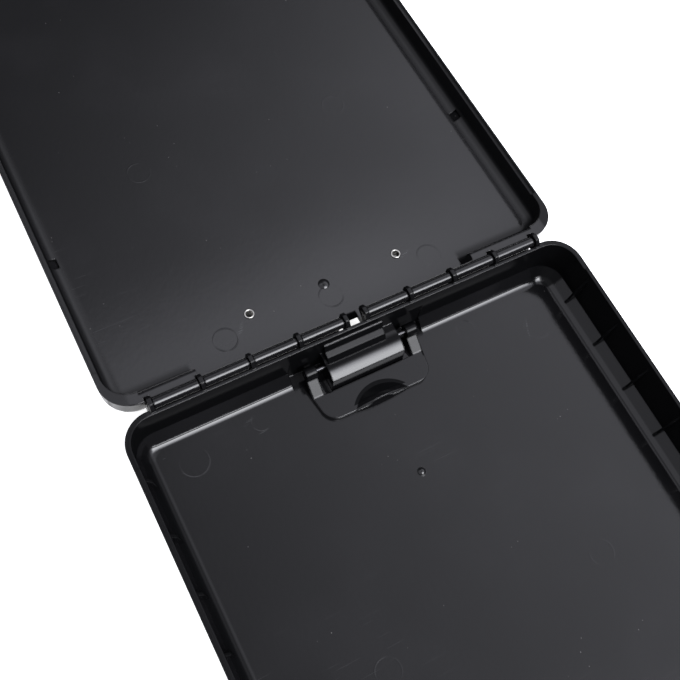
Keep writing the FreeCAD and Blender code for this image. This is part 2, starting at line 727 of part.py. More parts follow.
def clip_plate():
    """Spring-steel base plate with two upright ears for the pin and two rivet holes."""
    plate = plate_z(clip_half_width, -clip_front, -clip_rear, clip_corner_radius, 0, clip_sheet)
    outline = [(-clip_pin_distance - clip_ear_radius, clip_sheet / 2, 0),
               (-clip_pin_distance + clip_ear_radius, clip_sheet / 2, 0)]
    outline += octagon(-clip_pin_distance, clip_pin_height, clip_ear_radius, (0, 1, 2, 3))
    for side in (-1, 1):
        x_from, x_to = sorted((side * clip_half_width, side * (clip_half_width - clip_sheet)))
        plate = plate.fuse(prism_x(outline, x_from, x_to))
        plate = plate.cut(Part.makeCylinder(rivet_hole_radius + rivet_fit, 4 * clip_sheet,
                                            V(side * rivet_spacing / 2, -rivet_distance, -clip_sheet)))
    bore = rod_x(clip_pin_radius + pin_press_clearance, -case_width, case_width,
                 -clip_pin_distance, clip_pin_height)
    return plate.cut(bore).removeSplitter()


def clip_jaw():
    """Pressed jaw: gripping edge, arched crown over the pin, thumb tab and two pin ears.

    The tab is slotted behind the lid's notch, through which the table shows.
    """
    sheet = clip_sheet
    outside_round = jaw_bend_round + sheet
    upper = [(-jaw_tip_distance, jaw_tip_gap + sheet, 0),
             (-jaw_heel_distance, jaw_heel_height + sheet, outside_round),
             (-jaw_crown_distance, jaw_crown_height + sheet, outside_round),
             (-jaw_tab_distance, jaw_tab_height + sheet, 0)]
    lower = [(-jaw_tab_distance, jaw_tab_height, 0),
             (-jaw_crown_distance, jaw_crown_height, jaw_bend_round),
             (-jaw_heel_distance + 0.35 * sheet, jaw_heel_height, jaw_bend_round),
             (-jaw_tip_distance + 1.2 * sheet, jaw_tip_gap, 0)]
    lip = [(-jaw_tip_distance, jaw_tip_gap, 0)]
    jaw = prism_x(upper + lower + lip, -jaw_half_width, jaw_half_width)
    for side in (-1, 1):
        x_far = side * case_width
        x_near = side * jaw_tab_half_width
        jaw = jaw.cut(box(min(x_near, x_far), max(x_near, x_far), -jaw_tab_root, 0, 0, 4 * jaw_tab_height))
    tab_ends = [e for e in jaw.Edges if e.Length < 2 * sheet
                and abs(e.Vertexes[0].Z - e.Vertexes[-1].Z) > 0.5 * sheet
                and abs(e.Vertexes[0].Y + jaw_tab_distance) < sheet]
    jaw = jaw.makeFillet(jaw_tab_corner, tab_ends)
    slot_half_width = hinge_centre_gap / 2 + ear_thickness / 2 + jaw_tab_slot_margin
    jaw = jaw.cut(box(-slot_half_width, slot_half_width, -jaw_tab_distance - jaw_tab_slot_depth, 0,
                      0, 4 * jaw_tab_height))
    ear = octagon(-clip_pin_distance, clip_pin_height, jaw_ear_radius, (3, 4, 5, 6, 7))
    ear += [(-clip_pin_distance + jaw_ear_radius + 1.5 * sheet, jaw_crown_height + sheet / 2, 0),
            (-jaw_heel_distance + 4.0 * sheet, jaw_crown_height - 0.3 * sheet, 0)]
    for side in (-1, 1):
        x_from, x_to = sorted((side * jaw_half_width, side * (jaw_half_width - sheet)))
        jaw = jaw.fuse(prism_x(ear, x_from, x_to))
    bore = rod_x(clip_pin_radius + pin_running_clearance, -case_width, case_width,
                 -clip_pin_distance, clip_pin_height)
    return jaw.cut(bore).removeSplitter()


def clip_pin():
    """Pin pressed into the plate's ears, on which the jaw turns."""
    return rod_x(clip_pin_radius, -clip_half_width, clip_half_width, -clip_pin_distance, clip_pin_height)


def clip_rivet(side):
    """Hollow rivet: head on the clip plate, tail rolled over on the inside of the lid."""
    below = -lid_panel
    shank = [(rivet_bore_radius, clip_sheet + rivet_head_height, 0),
             (rivet_head_radius, clip_sheet + rivet_head_height, 0),
             (rivet_head_radius, clip_sheet, 0), (rivet_hole_radius, clip_sheet, 0),
             (rivet_hole_radius, below, 0), (rivet_roll_radius, below, 0),
             (rivet_roll_radius, below - rivet_roll_height, 0),
             (rivet_bore_radius, below - rivet_roll_height, 0)]
    rivet = face_xz(shank).revolve(V(0, 0, 0), V(0, 0, 1), 360)
    rivet.translate(V(side * rivet_spacing / 2, -rivet_distance, 0))
    return rivet


def clip_spring(side):
    """Torsion spring on the clip pin: one leg on the clip plate, the other under the thumb tab."""
    radius = clip_spring_mean_radius
    drop = clip_pin_height - radius - clip_sheet - clip_spring_wire_radius - clip_spring_seat_gap
    dip = math.degrees(math.atan2(drop, clip_spring_plate_leg))
    run = clip_pin_distance - jaw_tab_distance
    tab_slope = math.atan2(jaw_tab_height - jaw_crown_height, jaw_crown_distance - jaw_tab_distance)
    tab_at_leg = jaw_tab_height - (run - clip_spring_tab_leg) * math.tan(tab_slope)
    rise = tab_at_leg - clip_spring_wire_radius - clip_spring_seat_gap - clip_pin_height - radius
    lift = math.degrees(math.atan2(rise, clip_spring_tab_leg))
    turned = -(360.0 * clip_spring_turns + 180.0 - dip - lift)
    spring = torsion_spring(clip_spring_wire_radius, radius, clip_spring_pitch, -90.0 - dip, turned,
                            clip_spring_plate_leg, clip_spring_tab_leg, 0)
    spring.translate(V(side * clip_spring_place, -clip_pin_distance, clip_pin_height))
    return spring


def hinge_pin(side):
    """Steel pin through the ears and barrels of one side."""
    inner = hinge_centre_gap / 2 - ear_thickness / 2
    x_from, x_to = sorted((side * inner, side * hinge_half_span))
    return rod_x(hinge_pin_radius, x_from, x_to, hinge_y, hinge_z)


parts = {
    "base_tray": base_tray(),
    "left_hinge_pin": hinge_pin(-1),
    "right_hinge_pin": hinge_pin(1),
    "inner_clip_flap": inner_clip_flap(),
    "inner_clip_pin": rod_x(flap_pin_radius, -flap_half_width, flap_half_width,
                            flap_pivot_y, flap_pivot_height),
    "inner_clip_spring": inner_clip_spring(),
    "inner_clip_collar": inner_clip_collar(),
    "front_latch": front_latch(),
    "latch_pin": rod_x(latch_pin_radius, -latch_half_width - latch_side_clearance - latch_lug_thickness,
                       latch_half_width + latch_side_clearance + latch_lug_thickness,
                       -half_length - latch_pivot_reach, latch_pivot_height),
    "lid_shell": place_lid_piece(lid_shell()),
    "paper_clip_plate": place_clip_piece(clip_plate()),
    "paper_clip_jaw": place_clip_piece(clip_jaw()),
    "paper_clip_pin": place_clip_piece(clip_pin()),
    "paper_clip_left_spring": place_clip_piece(clip_spring(-1)),
    "paper_clip_right_spring": place_clip_piece(clip_spring(1)),
    "left_clip_rivet": place_clip_piece(clip_rivet(-1)),
    "right_clip_rivet": place_clip_piece(clip_rivet(1)),
}

os.makedirs("parts", exist_ok=True)
for name, shape in parts.items():
    shape.exportStep("parts/" + name + ".step")
    size = shape.BoundBox
    print(name, shape.isValid(), len(shape.Solids), round(shape.Volume),
          [round(v, 1) for v in (size.XMin, size.XMax, size.YMin, size.YMax, size.ZMin, size.ZMax)])
print("rest tilt", round(rest_tilt, 3), "hinge axis", hinge_y, hinge_z)
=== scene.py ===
# %% [markdown]
# # A storage clipboard box, opened flat on a table
# The real object is a flat black case in two mouldings. A ribbed tray lies in front, and its
# lid lies back on the table behind it, so what the picture shows is the inside of both.
# Between them runs a hinge of thin ears and round barrels, and in the middle of the tray's
# rear wall a small sprung flap holds papers down.
#
# The solid model already has every rigid piece in its true place, so this lesson starts from
# it and adds what a solid model leaves out: the finish of the plastic and of the metal, the
# rolled edges of the rivets, the small marks that moulding leaves, and painted shade.

# %% Load the solid model
import math

import bpy
import numpy as np
from mathutils import Matrix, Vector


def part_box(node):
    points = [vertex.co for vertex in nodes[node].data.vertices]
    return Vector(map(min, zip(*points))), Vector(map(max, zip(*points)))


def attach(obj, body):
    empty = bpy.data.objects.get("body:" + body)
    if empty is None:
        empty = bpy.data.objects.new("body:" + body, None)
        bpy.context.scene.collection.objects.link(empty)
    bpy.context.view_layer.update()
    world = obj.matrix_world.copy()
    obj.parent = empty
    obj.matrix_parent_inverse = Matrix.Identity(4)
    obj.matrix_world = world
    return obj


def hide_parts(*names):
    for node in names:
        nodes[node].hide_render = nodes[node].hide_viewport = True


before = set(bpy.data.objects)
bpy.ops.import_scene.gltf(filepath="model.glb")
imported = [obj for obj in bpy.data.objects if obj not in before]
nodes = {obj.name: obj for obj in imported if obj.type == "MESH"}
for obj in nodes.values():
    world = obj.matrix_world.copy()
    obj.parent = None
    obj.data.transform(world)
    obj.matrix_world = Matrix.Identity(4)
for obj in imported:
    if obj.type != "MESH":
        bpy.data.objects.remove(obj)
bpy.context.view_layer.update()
print("pieces in the solid model:", len(nodes))

# %% [markdown]
# ## The camera
# The photograph looks down on the hinge from the front left. A camera can be turned with
# three angles, but here its right, up and back directions are known from fitting the
# hinge's even pitch, so they are written down as the columns of its matrix.

# %% Camera
view_right = (0.87896435, -0.46212656, 0.11773156)
view_up = (0.38075475, 0.82870235, 0.41021730)
view_back = (-0.28713673, -0.31573953, 0.90435670)
view_from = (-0.1358349, 0.0309022, 0.4188721)

camera_data = bpy.data.cameras.new("camera")
camera_data.lens = 49.469
camera_data.sensor_width = 36.0
camera_data.clip_start = 0.01
camera = bpy.data.objects.new("camera", camera_data)
bpy.context.scene.collection.objects.link(camera)
columns = zip(view_right, view_up, view_back, view_from)
camera.matrix_world = Matrix([*columns, (0.0, 0.0, 0.0, 1.0)])
bpy.context.scene.camera = camera
print("camera height above the table:", round(view_from[2], 3), "m")

# %% [markdown]
# ## Shader sums written as sums
# A finish is mostly arithmetic on masks: how far a point is from a mark, how much of the
# grain shows, one minus that. Wiring such sums by hand hides them. Here a small class holds
# a socket and overloads plus, minus and times, so that a finish reads like its formula. Two
# steps that every mask needs, a soft threshold and a soft ring, are methods of the same class.

# %% Sums of sockets
class Value:
    """A socket that adds Math nodes when it is used in a sum."""

    def __init__(self, sheet, socket):
        self.sheet = sheet
        self.socket = socket

    def maths(self, operation, *others):
        sockets = dict(enumerate((self,) + others))
        return self.sheet.node("ShaderNodeMath", {"operation": operation}, sockets)

    def __add__(self, other):
        return self.maths("ADD", other)

    def __sub__(self, other):
        return self.maths("SUBTRACT", other)

    def __mul__(self, other):
        return self.maths("MULTIPLY", other)

    def __rsub__(self, other):
        return self.sheet.node("ShaderNodeMath", {"operation": "SUBTRACT"}, {0: other, 1: self})

    __radd__ = __add__
    __rmul__ = __mul__

    def band(self, low, high):
        """0 below low, 1 above high, a smooth step between."""
        return self.sheet.node("ShaderNodeMapRange", {"interpolation_type": "SMOOTHSTEP"},
                               {"Value": self, "From Min": low, "From Max": high})

    def ring(self, radius, width):
        """1 where the value is the radius, falling smoothly to 0 within the width."""
        return 1 - (self - radius).maths("ABSOLUTE").band(0.0, width)


print("steps of a socket:", [name for name in vars(Value) if not name.startswith("_")])

# %% [markdown]
# ## One way to add a node
# Every node is made in the same three moves: choose its type, change its settings, and give
# each socket a number or a link. One method does all three, so the finishes below never
# handle links themselves. The same sheet serves materials and the world.

# %% Node sheet
class NodeSheet:
    """A node tree that is filled through one method."""

    def __init__(self, tree):
        self.tree = tree

    def plug(self, target, value):
        if isinstance(value, Value):
            self.tree.links.new(value.socket, target)
        else:
            target.default_value = value

    def node(self, kind, settings, sockets, out=0):
        """Any node: its type, its settings, and the values or links of its sockets."""
        made = self.tree.nodes.new(kind)
        for setting, value in settings.items():
            setattr(made, setting, value)
        for socket, value in sockets.items():
            self.plug(made.inputs[socket], value)
        return Value(self, made.outputs[out])

    def blend(self, amount, dark, light):
        """A colour between two, through a Mix node; each is three numbers or a socket."""
        ends = [end if isinstance(end, Value) else (*end, 1.0) for end in (dark, light)]
        return self.node("ShaderNodeMix", {"data_type": "RGBA"},
                         {0: amount, 6: ends[0], 7: ends[1]}, out=2)


print("a node sheet can:", [name for name in vars(NodeSheet) if not name.startswith("_")])

# %% [markdown]
# ## A finish is a material
# Each finish is one material with a Principled shader. Its patterns read Object coordinates,
# which are metres on the finished piece, so one pattern has the same size on every piece
# and stays on it when a joint moves. The smallest radii of the moulds are left to a Bevel
# node, which rounds the shading of an edge and costs no faces.

# %% Finish
class Finish(NodeSheet):
    """A material with one Principled shader, built node by node."""

    def __init__(self, name, colour, **sockets):
        self.material = bpy.data.materials.new(name)
        self.material.use_nodes = True
        super().__init__(self.material.node_tree)
        self.shader = self.tree.nodes["Principled BSDF"]
        self.material.diffuse_color = (*colour, 1.0)
        self.set("Base Color", (*colour, 1.0))
        for socket, value in sockets.items():
            self.set(socket.replace("_", " "), value)

    def set(self, socket, value):
        self.plug(self.shader.inputs[socket], value)

    def place(self, scale=(1.0, 1.0, 1.0), turn=(0.0, 0.0, 0.0), centre=(0.0, 0.0, 0.0)):
        """Object coordinates in metres, moved, turned and scaled by a Mapping node."""
        where = self.node("ShaderNodeTexCoord", {}, {}, out="Object")
        return self.node("ShaderNodeMapping", {}, {"Vector": where, "Location": centre,
                                                   "Rotation": turn, "Scale": scale})

    def axes(self, kind="Object"):
        """The three numbers of Object coordinates, or of the surface's own Normal."""
        where = self.node("ShaderNodeTexCoord", {}, {}, out=kind)
        return [self.node("ShaderNodeSeparateXYZ", {}, {0: where}, out=k) for k in range(3)]

    def noise(self, scale, detail=2.0, roughness=0.5, vector=None):
        sockets = {"Vector": vector or self.place(), "Scale": scale,
                   "Detail": detail, "Roughness": roughness}
        return self.node("ShaderNodeTexNoise", {}, sockets)

    def relief(self, height, depth, edge=None):
        """Normals from a height map, over edges that a Bevel node rounds off."""
        sockets = {"Height": height, "Distance": depth, "Strength": 1.0}
        if edge:
            sockets["Normal"] = self.node("ShaderNodeBevel", {"samples": 6}, {"Radius": edge})
        self.set("Normal", self.node("ShaderNodeBump", {}, sockets))


def finish_node(name, finish):
    """Give a solid-model piece its material."""
    nodes[name].data.materials.clear()
    nodes[name].data.materials.append(finish.material)


print("a finish can:", [name for name in vars(Finish) if not name.startswith("_")])

# %% [markdown]
# ## Marks on the flat
# Pins push a moulding out of its mould and leave faint, broken rings on the flat panels, and
# use leaves pale scuffs. Both could be painted in an image. Here each is a formula of the
# distance to its middle, so a mark is only a short row of numbers: where it is and how big.

# %% Rings and scuffs
ring_width = 0.0005


def distance_to(finish, x, y):
    """Distance from a vertical line at x, y: the length of the flat part of the offset."""
    flat = finish.place(scale=(1.0, 1.0, 0.0), centre=(-x, -y, 0.0))
    return finish.node("ShaderNodeVectorMath", {"operation": "LENGTH"}, {0: flat}, out="Value")


def ejector_rings(finish, marks):
    """1 on thin circles that a noise breaks up; each mark is (x, y, radius)."""
    rings = 0.0
    for x, y, radius in marks:
        broken = finish.noise(90.0, vector=finish.place(centre=(x, y, radius))).band(0.42, 0.62)
        rings = rings + distance_to(finish, x, y).ring(radius, ring_width) * broken
    return rings


def scuff_patch(finish, x, y, angle, length, width):
    """1 in the middle of a turned oval on the flat, 0 outside it."""
    where = finish.node("ShaderNodeTexCoord", {}, {}, out="Object")
    inside = finish.node("ShaderNodeMapping", {"vector_type": "TEXTURE"},
                         {"Vector": where, "Location": (x, y, 0.0), "Rotation": (0.0, 0.0, angle),
                          "Scale": (length / 2, width / 2, 1.0)})
    reach = finish.node("ShaderNodeVectorMath", {"operation": "LENGTH"}, {0: inside}, out="Value")
    return 1 - reach.band(0.2, 1.0)


print("ring lines are", ring_width * 1000, "mm wide")

# %% [markdown]
# ## Painted shade
# Deep walls, rims, corners and gaps of the case lie in shade and mirror dark things, so in the
# picture they are nearly black beside the satin panels. That shade is painted here: a second,
# darker shader with hardly any shine is mixed in where the shade falls. The borders run across
# large faces, so a material for each face can't follow them. Each zone is a mask instead, made of
# the surface's place and direction, and the masks mix in that second shader.

# %% Tools for zones
painted_shade_black = (0.0022, 0.0023, 0.0026, 1.0)
painted_shade_roughness, painted_shade_shine = 0.70, 0.03
steep = (0.75, 0.92)
zone_edge = 0.0004


def past(value, edge, soft=zone_edge):
    """0 before the edge, 1 past it, with a soft step."""
    return value.band(edge - soft / 2, edge + soft / 2)


def between(value, low, high, soft=zone_edge):
    """1 where the value lies between low and high, with soft edges."""
    return past(value, low, soft) * (1 - past(value, high, soft))


def most(*shares):
    """The greatest of several shares."""
    greatest = shares[0]
    for share in shares[1:]:
        greatest = greatest.maths("MAXIMUM", share)
    return greatest


def paint_shade(finish, share):
    """Paints shade: mixes in a second, darker shader with hardly any shine, by the share from 0 to 1."""
    sockets = {"Base Color": painted_shade_black, "Roughness": painted_shade_roughness, "Specular IOR Level": painted_shade_shine}
    shade_shader = finish.node("ShaderNodeBsdfPrincipled", {}, sockets)
    satin = Value(finish, finish.shader.outputs[0])
    mixed = finish.node("ShaderNodeMixShader", {}, {0: share, 1: satin, 2: shade_shader})
    finish.plug(finish.tree.nodes["Material Output"].inputs["Surface"], mixed)


print("a wall is steep from", steep[0], "to", steep[1], "of its normal sideways")

# %% [markdown]
# ## Black moulded plastic
# The case is injection moulded in a black plastic with a fine satin skin. Light grazes it in
# a soft sheen, and close up it has a very fine grain, faint flow clouds, dust, and hair
# scratches from use. A flat black would hide all of that, so the roughness carries most of
# the detail and the colour only a little.

# %% Plastic
plastic_dark = (0.0036, 0.0036, 0.0040)
plastic_pale = (0.0085, 0.0084, 0.0092)
dust_colour = (0.12, 0.116, 0.112)
worn_colour = (0.026, 0.027, 0.028)
mould_radius = 0.0010
satin_gloss = 0.055
hair_scale, hair_turn = (30.0, 1700.0, 900.0), (0.0, 0.0, 0.5)
grain_depth = 0.00004


def dust_specks(finish):
    """1 in small dots, the middles of Voronoi cells, where a slower noise lets dust settle."""
    cells = finish.node("ShaderNodeTexVoronoi", {}, {"Vector": finish.place(), "Scale": 240.0},
                        out="Distance")
    return (1 - cells.band(0.05, 0.09)) * finish.noise(60.0, detail=1.0).band(0.62, 0.68)


def moulded_plastic(name, marks=(), scuffs=(), edge=mould_radius, gloss=satin_gloss,
                    zones=None, softness=None):
    """Satin black plastic, in metres.

    Each mark is (x, y, radius) of an ejector ring, each scuff (x, y, angle, length, width).
    Zones is a function that gives the share of painted shade, a darker shader without shine,
    and softness one that gives the roughness added in places.
    """
    finish = Finish(name, plastic_dark, IOR=1.50)
    clouds = finish.noise(14.0, detail=3.0)
    grain = finish.noise(2600.0, detail=2.0, roughness=0.6)
    orange_peel = finish.noise(420.0, detail=1.0)
    streaks = finish.noise(1.0, detail=3.0, vector=finish.place(scale=hair_scale, turn=hair_turn))
    hairs = streaks.band(0.66, 0.70) * clouds.band(0.50, 0.62)
    dust = dust_specks(finish)
    rings = ejector_rings(finish, marks)
    worn = hairs * 0.4
    for scuff in scuffs:
        worn = worn + scuff_patch(finish, *scuff) * streaks.band(0.40, 0.62)

    paleness = clouds.band(0.30, 0.75) * 0.55 + hairs * 0.35 + rings * 0.9
    tone = finish.blend(paleness.band(0.0, 1.0), plastic_dark, plastic_pale)
    tone = finish.blend(worn.band(0.0, 1.0), tone, worn_colour)
    finish.set("Base Color", finish.blend(dust * 0.5, tone, dust_colour))
    roughness = gloss + clouds * 0.04 + grain * 0.02 + hairs * 0.12 + rings * 0.10
    if softness:
        roughness = roughness + softness(finish)
    finish.set("Roughness", roughness + dust * 0.3)
    finish.relief(grain * 0.25 + orange_peel * 0.35 + rings * 0.9, grain_depth, edge)
    # Painted shade: the zones mix in a darker shader without shine.
    if zones:
        paint_shade(finish, zones(finish))
    return finish


print("plastic tones from", plastic_dark, "to", plastic_pale)

# %% [markdown]
# ## The tray's finish
# The tray is the deepest moulding and has the most painted shade: on its ribbed side walls, the
# slope and the gap behind its rear rim, the rim itself, two corners and the wedge behind the
# hood. The same mix draws a thin dark line in the bright seam where floor and slope meet.

# %% Tray zones
level_face = (0.20, 0.45)
foot_top, rib_foot, rim_foot = 0.0062, 0.0075, 0.0264
slope_rear, rim_side, rim_rear = 0.1645, 0.1055, 0.1692
corner_side, corner_rear = 0.1045, 0.1575
gap_front, gap_rear, gap_top = 0.1713, 0.1778, 0.0275
wedge_left, wedge_right, wedge_front, wedge_rear = -0.0190, 0.0132, 0.1622, 0.1690
wedge_foot, hood_foot, hood_top, hood_half = 0.0152, 0.0112, 0.0153, 0.0200
hood_front, hood_shade, hood_rear = 0.1550, 0.1598, 0.1640
seam_front, seam_rear, seam_low, seam_high = 0.16385, 0.16425, 0.0028, 0.0040
left_foot_side, right_foot_side = -0.1093, 0.1078
dark_corner_side, dark_corner_front, dark_corner_low, dark_corner_high = 0.1033, 0.1570, 0.0038, 0.0120


def tray_painted_shade(finish):
    """Painted shade: walls, rear gap, rim, corners, wedge, hood's rear, seam line and feet."""
    x, y, z = finish.axes()
    sideways, backwards, upwards = [number.maths("ABSOLUTE") for number in finish.axes("Normal")]
    beside = x.maths("ABSOLUTE")
    near_floor = 1 - past(z, foot_top)
    side_wall = sideways.band(*steep) * past(z, rib_foot, 0.0010) * 0.80
    rear_wall = backwards.band(*steep) * past(y, slope_rear, 0.0010) * 0.85
    in_corner = past(beside, corner_side, 0.0010) * past(y, corner_rear, 0.0006)
    corner_wall = (1 - upwards.band(*level_face)) * in_corner * 0.85
    rear_gap = between(y, gap_front, gap_rear) * (1 - past(z, gap_top, 0.0006)) * 0.95
    rim = past(z, rim_foot) * most(past(beside, rim_side, 0.0010) * 0.60, past(y, rim_rear) * 0.40)
    wedge = between(x, wedge_left, wedge_right) * between(y, wedge_front, wedge_rear)
    wedge = wedge * past(z, wedge_foot, 0.0002) * 0.76
    hood = most(between(y, hood_shade, hood_rear, 0.0030) * 0.85,
                between(y, hood_front, hood_rear) * 0.16)
    hood = hood * between(x, -hood_half, hood_half) * between(z, hood_foot, hood_top)
    seam_line = between(y, seam_front, seam_rear, 0.0002) * between(z, seam_low, seam_high) * 0.85
    left_foot = (1 - past(x, left_foot_side, 0.0014)) * near_floor * 0.80
    dark_corner = past(x, dark_corner_side, 0.0006) * past(y, dark_corner_front, 0.0020)
    dark_corner = dark_corner * between(z, dark_corner_low, dark_corner_high) * 0.85
    right_foot = past(x, right_foot_side, 0.0008) * past(y, corner_rear, 0.0010) * near_floor * 0.80
    return most(side_wall, rear_wall, corner_wall, rear_gap, rim, wedge, hood, seam_line,
                left_foot, dark_corner, right_foot)


tray_marks = [(0.0570, 0.1547, 0.0048), (-0.0570, 0.1547, 0.0048), (0.0920, 0.1410, 0.0070),
              (-0.0930, 0.1500, 0.0070), (0.0570, 0.0300, 0.0060), (-0.0570, 0.0300, 0.0060),
              (0.0920, -0.1400, 0.0070), (-0.0920, -0.1400, 0.0070)]
tray_scuffs = [(-0.0915, 0.1568, -0.17, 0.0080, 0.0008), (-0.1045, 0.1574, -0.2, 0.0030, 0.0007),
               (-0.0625, 0.1570, 0.3, 0.0090, 0.0022), (-0.0590, 0.1494, 0.1, 0.0060, 0.0014),
               (0.0870, 0.1420, 1.2, 0.0180, 0.0012)]
finish_node("base_tray", moulded_plastic("tray_plastic", tray_marks, tray_scuffs, zones=tray_painted_shade))
print("tray has", len(tray_marks), "ejector rings and", len(tray_scuffs), "scuffs")

# %% [markdown]
# ## The lid's finish
# The lid is shallow, so only its side walls, the rim at the right and the feet of its two
# shoulders get painted shade. Where its panel turns up at the sides the polish fades out, which is
# why the reflections get soft there. That needs no second shader, only more roughness.

# %% Lid zones
wall_outside, lid_rim_side, lid_rim_top = 0.1180, 0.1123, 0.0220
left_shoulder, right_shoulder, shoulder_top, shoulder_rear = -0.0780, 0.0690, 0.0185, 0.1905
turned_up_side, turned_up_width, turned_up_roughness = 0.11075, 0.0035, 0.26


def lid_painted_shade(finish):
    """Painted shade: the inner walls, the rim at the right and the feet of the shoulders."""
    x, y, z = finish.axes()
    beside = x.maths("ABSOLUTE")
    sideways = finish.axes("Normal")[0].maths("ABSOLUTE")
    side_wall = sideways.band(*steep) * (1 - past(beside, wall_outside)) * 0.7
    rim = past(x, lid_rim_side, 0.0006) * past(z, lid_rim_top, 0.0010) * 0.55
    shoulder = most(1 - past(x, left_shoulder, 0.0020), past(x, right_shoulder, 0.0020))
    shoulder = shoulder * (1 - past(z, shoulder_top, 0.0010)) * (1 - past(y, shoulder_rear, 0.0040))
    return most(side_wall, rim, shoulder * 0.50)


def lid_softness(finish):
    """Rougher along the side walls, where the panel turns up."""
    beside = finish.axes()[0].maths("ABSOLUTE")
    return past(beside, turned_up_side, turned_up_width) * turned_up_roughness


lid_marks = [(-0.0566, 0.1952, 0.0059), (0.0, 0.1952, 0.0060), (0.0559, 0.1952, 0.0060),
             (-0.0566, 0.3000, 0.0059), (0.0559, 0.3000, 0.0059), (0.0, 0.4300, 0.0060)]
lid_scuffs = [(-0.0480, 0.1969, 0.9, 0.0110, 0.0030), (0.0535, 0.1905, 0.1, 0.0060, 0.0012),
              (0.0450, 0.2010, 0.4, 0.0110, 0.0020), (0.0020, 0.1893, 0.1, 0.0060, 0.0012)]
finish_node("lid_shell", moulded_plastic("lid_plastic", lid_marks, lid_scuffs,
                                         zones=lid_painted_shade, softness=lid_softness))
print("lid has", len(lid_marks), "ejector rings and", len(lid_scuffs), "scuffs")

# %% [markdown]
# ## Flap and latch
# The document flap has painted shade on its two arms, its right edge and the half-moon hollow
# of the finger lip; only its flat plate keeps its polish. The front latch is handled most and
# is worn to an even satin, with sharper edges than the big mouldings.

# %% Flap zones
plate_top, arm_front = 0.0052, 0.1529
lip_centre, lip_radius, lip_front = 0.13128, 0.01785, 0.1421
edge_side, edge_start, edge_slope = 0.0302, 0.1557, 0.138
edge_inset, edge_front = 0.0005, 0.15075


def flap_painted_shade(finish):
    """Painted shade: the arms behind the plate, its right edge, the hollow of the lip."""
    x, y, z = finish.axes()
    arms = past(z, plate_top) * past(y, arm_front, 0.0006) * 0.66
    from_lip = distance_to(finish, 0.0, lip_centre)
    hollow = (1 - past(from_lip, lip_radius, 0.0003)) * past(y, lip_front) * 0.88
    edge_line = edge_side - (edge_start - y) * edge_slope
    right_edge = past(x - edge_line, -edge_inset) * past(y, edge_front, 0.0015) * 0.9
    return most(arms, hollow, right_edge)


finish_node("inner_clip_flap", moulded_plastic("flap_plastic", zones=flap_painted_shade))
finish_node("front_latch", moulded_plastic("latch_plastic", edge=0.0004, gloss=0.08))
print("flap's lip is hollow to", lip_radius * 1000, "mm from its centre")

# %% [markdown]
# ## Steel and nickel
# The hinge pins are blackened steel rod, the paper clip is pressed from nickel plated sheet
# and the springs are drawn wire. Metals differ mostly in their scratches: drawn wire and rod
# are scratched along their length, rolled sheet along the rolling direction. So each metal
# stretches one noise along one axis, and keeps a little colour change for handling.

# %% Metals
def metal(name, colour, tarnish, roughness, stretch, edge=None):
    """Scratched metal: noise drawn out along an axis gives fine lines in gloss and height."""
    finish = Finish(name, colour, Metallic=1.0)
    lines = finish.noise(1.0, detail=4.0, roughness=0.65, vector=finish.place(scale=stretch))
    stains = finish.noise(55.0, detail=3.0)
    pits = finish.noise(1500.0, detail=2.0)
    finish.set("Base Color", finish.blend(stains.band(0.45, 0.75) * 0.35, colour, tarnish))
    finish.set("Roughness", roughness + lines * 0.16 + stains * 0.10)
    finish.relief(lines * 0.7 + pits * 0.3, 0.00002, edge)
    return finish


black_steel = metal("blackened_pin_steel", (0.10, 0.10, 0.105), (0.05, 0.04, 0.035), 0.30,
                    (40.0, 3000.0, 3000.0))
clip_nickel = metal("nickel_plated_sheet", (0.62, 0.62, 0.63), (0.42, 0.40, 0.37), 0.18,
                    (60.0, 2400.0, 2400.0), edge=0.0002)
wire_steel = metal("drawn_spring_wire", (0.46, 0.46, 0.47), (0.25, 0.23, 0.21), 0.26,
                   (900.0, 900.0, 900.0), edge=0.0003)
rivet_nickel = metal("bright_rivet_nickel", (0.58, 0.57, 0.54), (0.30, 0.27, 0.23), 0.20,
                     (1200.0, 1200.0, 1200.0))
steel_pieces = ("left_hinge_pin", "right_hinge_pin", "inner_clip_pin", "latch_pin",
                "paper_clip_pin", "inner_clip_collar")
sheet_pieces = ("paper_clip_plate", "paper_clip_jaw")
for pin in steel_pieces:
    finish_node(pin, black_steel)
for sheet in sheet_pieces:
    finish_node(sheet, clip_nickel)
print("steel pieces:", len(steel_pieces), "sheet pieces:", len(sheet_pieces))

# %% [markdown]
# ## Springs
# A torsion spring under the hood presses the document flap down, and two more shut the paper
# clip. The solid model winds them with flats on the wire. They could be drawn again with a
# round wire, but they are thin, so here a Bevel node as wide as the wire's flats rounds the
# shading instead, and the shape stays the one that is tested.

# %% Springs
for spring in ("inner_clip_spring", "paper_clip_left_spring", "paper_clip_right_spring"):
    finish_node(spring, wire_steel)
    low, high = [np.array(corner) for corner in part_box(spring)]
    print(spring, "is", ((high - low) * 1000).round(1), "mm")

# %% [markdown]
# ## Faces of a grid
# Each added piece is a grid of points worked out with numpy: rows run along the piece and
# columns round it. The grid closes on itself round the piece, and its ends are either
# joined, as on a ring, or closed with a single point. The volume that the faces enclose
# tells whether they point outwards: they are turned round where it comes out negative.

# %% Grid faces
def grid_faces(count, around, closed_rows):
    """A face for each cell: a point, its neighbour in the row, and the same two a row ahead."""
    starts = np.arange(count if closed_rows else count - 1)
    row, column = np.meshgrid(starts, np.arange(around), indexing="ij")
    beside, ahead = (column + 1) % around, (row + 1) % count
    cell = [row * around + column, row * around + beside,
            ahead * around + beside, ahead * around + column]
    return np.stack(cell, axis=-1).reshape(-1, 4).tolist()


def fan_faces(here, following, tip):
    """Triangles from each pair of neighbours on an end row to the single point that closes it."""
    return np.stack([here, following, np.full(len(here), tip)], axis=-1).tolist()


